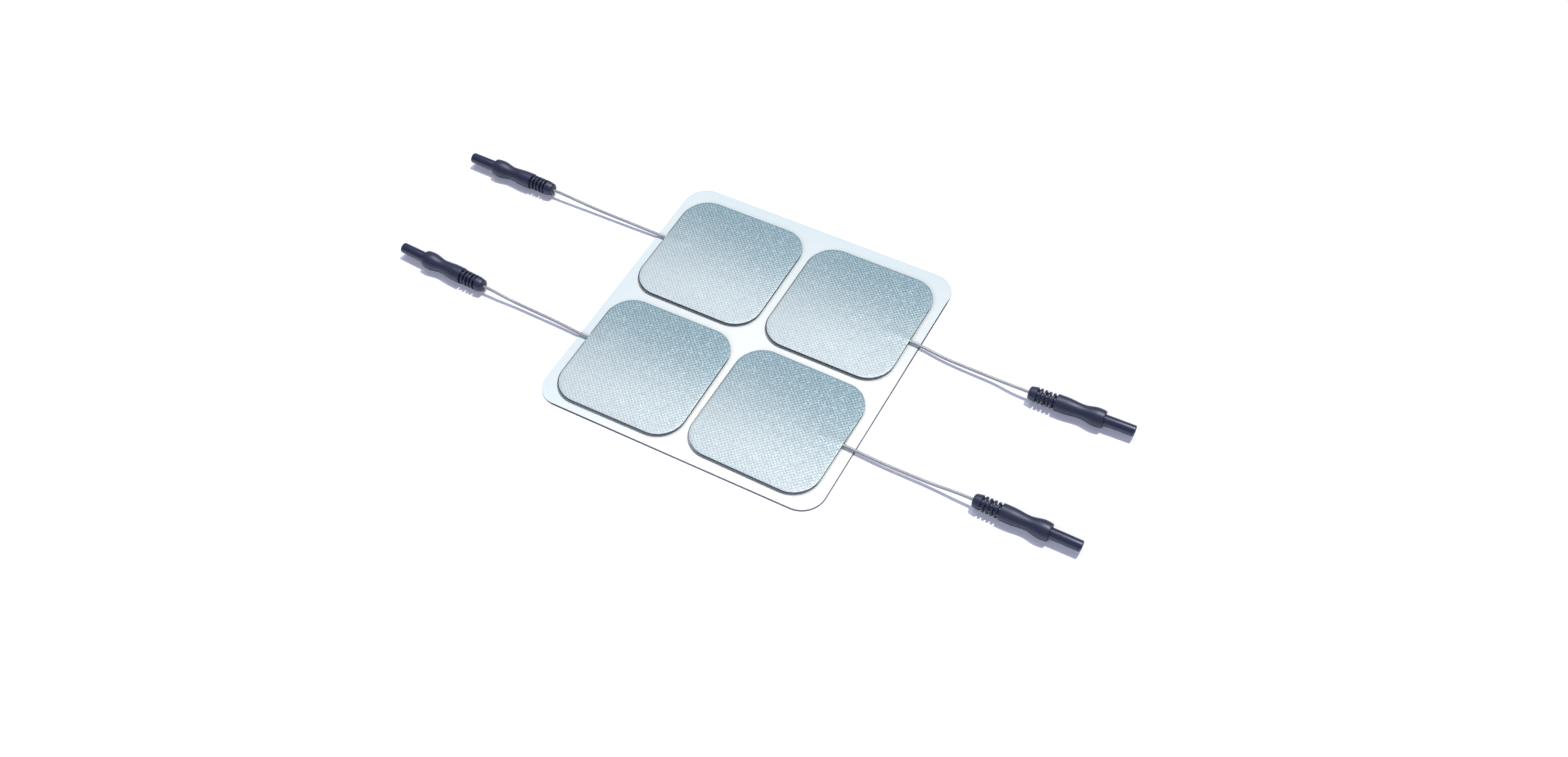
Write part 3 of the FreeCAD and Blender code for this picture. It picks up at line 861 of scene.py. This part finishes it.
def grip_loop():
    """The grip's section as a closed loop: outside from tail to nose, then back through its cavity."""
    tail = [(0.35, 0.85), (0.0, 1.1), (0.0, COLLAR_TAIL_RADIUS - 0.45), (0.45, COLLAR_TAIL_RADIUS)]
    outside = tail + [(COLLAR_LENGTH, RIB_RADIUS)]
    x = COLLAR_LENGTH
    for rib in range(RIB_COUNT + 1):
        outside += [(x, GROOVE_RADIUS), (x + GROOVE_LENGTH, GROOVE_RADIUS)]
        x += GROOVE_LENGTH
        if rib < RIB_COUNT:
            outside += [(x, RIB_RADIUS), (x + RIB_LENGTH, RIB_RADIUS)]
            x += RIB_LENGTH
    outside += [(x, GRIP_TAIL_RADIUS)]
    for i in range(1, GRIP_STEPS):
        share = i / GRIP_STEPS
        outside.append((x + share * (GRIP_LENGTH - 0.3), waisted_radius(share)))
    outside += [(GRIP_END, GRIP_NOSE_RADIUS - 0.02), (GRIP_END, NOSE_RADIUS + SEAT_CLEARANCE)]
    outside = softened(outside, GRIP_ROUND, 3)
    seat = SLEEVE_TAIL_RADIUS + SEAT_CLEARANCE
    inside = [(NOSE_START, NOSE_RADIUS + SEAT_CLEARANCE), (NOSE_START, seat), (SLEEVE_START, seat)]
    inside += [(SLEEVE_START, STRAND_BORE_RADIUS), (LEAD_IN_GRIP, STRAND_BORE_RADIUS)]
    inside += [(LEAD_IN_GRIP, LEAD_BORE_RADIUS), (0.6, LEAD_BORE_RADIUS)]
    return outside + inside


def waisted_radius(share):
    """Radius of the grip along its length: full at the tail, narrow at the waist, fullest near the nose."""
    if share < WAIST_START:
        return GRIP_TAIL_RADIUS
    if share < WAIST_AT:
        t = smooth_step(WAIST_START, WAIST_AT, share)
        return GRIP_TAIL_RADIUS + (WAIST_RADIUS - GRIP_TAIL_RADIUS) * t
    if share < BULGE_AT:
        t = smooth_step(WAIST_AT, BULGE_AT, share)
        return WAIST_RADIUS + (BULGE_RADIUS - WAIST_RADIUS) * t
    t = smooth_step(BULGE_AT, WAIST_END, share)
    return BULGE_RADIUS + (GRIP_NOSE_RADIUS - BULGE_RADIUS) * t


def webbed_radius(x, radius, angle):
    """Raises each groove's floor to the two bridges that cross it, a quarter turn on in the next groove."""
    if not COLLAR_LENGTH - 0.1 < x < TAIL_LENGTH + 0.1 or radius < GROOVE_RADIUS - 0.01:
        return radius
    groove = round((x - COLLAR_LENGTH - GROOVE_LENGTH / 2) / (GROOVE_LENGTH + RIB_LENGTH))
    across = abs(math.cos(angle)) if groove % 2 else abs(math.sin(angle))
    on_web = across * WEB_RADIUS < WEB_HALF_WIDTH
    return max(radius, WEB_RADIUS) if on_web else radius


def grip_mould(place):
    """The soft grip, with its ribbed strain relief."""
    mesh = lathe_mesh("grip_mould", grip_loop(), 112, webbed_radius)
    mesh.transform(connector_matrix(place))
    return new_object("grip_" + place, mesh, sharp_degrees=38)


def nose_sleeve(place):
    """The stiff sleeve: shouldered tail, smooth nose, rounded tip and chamfered mouth."""
    outside = [(SLEEVE_START, SLEEVE_BORE_RADIUS), (SLEEVE_START, SLEEVE_TAIL_RADIUS)]
    outside += [(NOSE_START, SLEEVE_TAIL_RADIUS), (NOSE_START, NOSE_RADIUS)]
    outside += [(NOSE_TIP - NOSE_LENGTH / 2, NOSE_RADIUS), (NOSE_TIP, NOSE_RADIUS - 0.04)]
    outside += [(NOSE_TIP, MOUTH_RADIUS + MOUTH_CHAMFER), (NOSE_TIP - MOUTH_CHAMFER, MOUTH_RADIUS)]
    outside += [(NOSE_TIP - MOUTH_LENGTH, MOUTH_RADIUS)]
    outside += [(NOSE_TIP - MOUTH_LENGTH, SLEEVE_BORE_RADIUS)]
    loop = softened(outside, SLEEVE_ROUND, 5)
    mesh = lathe_mesh("nose_sleeve", loop, 96)
    mesh.transform(connector_matrix(place))
    return new_object("sleeve_" + place, mesh, sharp_degrees=38)


# ---------------------------------------------------------------- operators


class ELECTRODES_OT_liner(bpy.types.Operator):
    """Finish the release liner"""

    bl_idname = "electrodes.liner"
    bl_label = "Release liner"

    def execute(self, context):
        colours = settings().colours
        paint(frame["nodes"]["release_liner"], finished("release_film", lambda: liner_finish(colours)))
        return {"FINISHED"}


class ELECTRODES_OT_pads(bpy.types.Operator):
    """Make each pad's cover cloth and gel, and finish the film between them"""

    bl_idname = "electrodes.pads"
    bl_label = "Pads"

    def execute(self, context):
        colours, pad = settings().colours, settings().pad
        for place in PLACES:
            body = "electrode_" + place
            gel = gel_sheet(place)
            paint(gel, finished("dark_gel", gel_finish))
            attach(gel, body)
            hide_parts("hydrogel_" + place)
            cover = cover_cloth(place)
            paint(cover, finished("silver_knit", lambda: knit_finish(colours)))
            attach(cover, body)
            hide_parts("cover_cloth_" + place)
            paint(frame["nodes"]["carbon_film_" + place], finished("carbon_film", carbon_finish))
        return {"FINISHED"}


class ELECTRODES_OT_connectors(bpy.types.Operator):
    """Make each connector's grip and sleeve, and finish its contact and the strands"""

    bl_idname = "electrodes.connectors"
    bl_label = "Connectors"

    def execute(self, context):
        colours = settings().colours
        for place in PLACES:
            body = "electrode_" + place
            grip = grip_mould(place)
            paint(grip, finished("soft_moulding", lambda: grip_finish(colours)))
            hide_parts("connector_grip_" + place)
            sleeve = nose_sleeve(place)
            paint(sleeve, finished("stiff_nose", lambda: sleeve_finish(colours)))
            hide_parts("connector_sleeve_" + place)
            for piece in (grip, sleeve):
                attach(piece, body)
            paint(frame["nodes"]["socket_contact_" + place], finished("nickel_plating", plated_finish))
            paint(frame["nodes"]["lead_conductor_" + place], finished("tinned_strands", strand_finish))
        return {"FINISHED"}


class ELECTRODES_OT_leads(bpy.types.Operator):
    """Lay each lead along its route"""

    bl_idname = "electrodes.leads"
    bl_label = "Leads"

    def execute(self, context):
        colours = settings().colours
        for place in PLACES:
            lead = lead_line(place)
            paint(lead, finished("lead_insulation", lambda: lead_finish(colours)))
            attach(lead, "electrode_" + place)
            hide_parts("lead_jacket_" + place)
            route = lead_route(place)
            line_length(route)
        return {"FINISHED"}


class ELECTRODES_OT_stage(bpy.types.Operator):
    """Set up the floor, the lights and the camera"""

    bl_idname = "electrodes.stage"
    bl_label = "Studio"

    def execute(self, context):
        studio = settings().studio
        self.floor()
        self.lights(studio)
        self.camera(studio)
        bpy.context.scene.view_settings.view_transform = "Standard"
        return {"FINISHED"}

    def floor(self):
        reach = FLOOR_REACH
        corners = [(-reach, -reach, 0), (reach, -reach, 0), (reach, reach, 0), (-reach, reach, 0)]
        floor = new_object("floor", mesh_from("floor", corners, [(0, 1, 2, 3)]))
        paint(floor, floor_finish(settings().colours))

    def lights(self, studio):
        world = bpy.data.worlds.new("room")
        world.use_nodes = True
        background = world.node_tree.nodes["Background"]
        background.inputs["Color"].default_value = (*studio.room, 1.0)
        bpy.context.scene.world = world
        key = self.light("key", "SUN", KEY_TOWARDS, 1.0, studio.key_strength, (1.0, 0.985, 0.95))
        key.data.angle = math.radians(KEY_ANGLE)
        overhead = ("overhead_softbox", "AREA", OVERHEAD_TOWARDS, OVERHEAD_DISTANCE)
        fill = self.light(*overhead, studio.fill_energy, (0.93, 0.96, 1.0))
        in_front = ("front_softbox", "AREA", FRONT_TOWARDS, FRONT_DISTANCE)
        front = self.light(*in_front, studio.front_energy, (0.8, 0.84, 1.0))
        for softbox, size in ((fill, OVERHEAD_SIZE), (front, FRONT_SIZE)):
            softbox.data.shape = "RECTANGLE"
            softbox.data.size, softbox.data.size_y = size
        # No surface mirrors the front box
        front.visible_glossy = False

    def light(self, name, kind, towards, distance, energy, colour):
        towards = Vector(towards)
        made = bpy.data.objects.new(name, bpy.data.lights.new(name, kind))
        made.data.energy = energy
        made.data.color = colour
        made.location = towards.normalized() * distance
        made.rotation_euler = towards.to_track_quat("Z", "Y").to_euler()
        bpy.context.scene.collection.objects.link(made)
        return made

    def camera(self, studio):
        cos_up, sin_up = math.cos(studio.elevation), math.sin(studio.elevation)
        back = Vector((math.sin(studio.azimuth) * cos_up, -math.cos(studio.azimuth) * cos_up, sin_up))
        right = Vector((0, 0, 1)).cross(back).normalized()
        up = back.cross(right)
        turn = Matrix((right, up, back)).transposed().to_4x4() @ Matrix.Rotation(studio.roll, 4, "Z")
        camera = bpy.data.objects.new("camera", bpy.data.cameras.new("camera"))
        camera.data.lens = studio.lens
        camera.data.sensor_width = 36.0
        camera.data.clip_start = 0.01
        camera.matrix_world = Matrix.Translation(Vector(studio.target) + back * studio.distance) @ turn
        bpy.context.scene.collection.objects.link(camera)
        bpy.context.scene.camera = camera


class ELECTRODES_PT_panel(bpy.types.Panel):
    """Lists the steps that build the electrodes"""

    bl_idname = "ELECTRODES_PT_panel"
    bl_label = "Electrodes"
    bl_space_type = "VIEW_3D"
    bl_region_type = "UI"
    bl_category = "Electrodes"

    def draw(self, context):
        for operator in OPERATORS:
            self.layout.operator(operator.bl_idname)


OPERATORS = (
    ELECTRODES_OT_liner,
    ELECTRODES_OT_pads,
    ELECTRODES_OT_connectors,
    ELECTRODES_OT_leads,
    ELECTRODES_OT_stage,
)
GROUPS = (PadSettings, LeadSettings, ColourSettings, StudioSettings, ElectrodeSettings)
CLASSES = GROUPS + OPERATORS + (ELECTRODES_PT_panel,)


def register():
    for each in CLASSES:
        bpy.utils.register_class(each)
    bpy.types.Scene.electrodes = bpy.props.PointerProperty(type=ElectrodeSettings)


def unregister():
    del bpy.types.Scene.electrodes
    for each in reversed(CLASSES):
        bpy.utils.unregister_class(each)


def main():
    register()
    bpy.ops.electrodes.liner()
    bpy.ops.electrodes.pads()
    bpy.ops.electrodes.connectors()
    bpy.ops.electrodes.leads()
    bpy.ops.electrodes.stage()


if __name__ == "__main__":
    main()
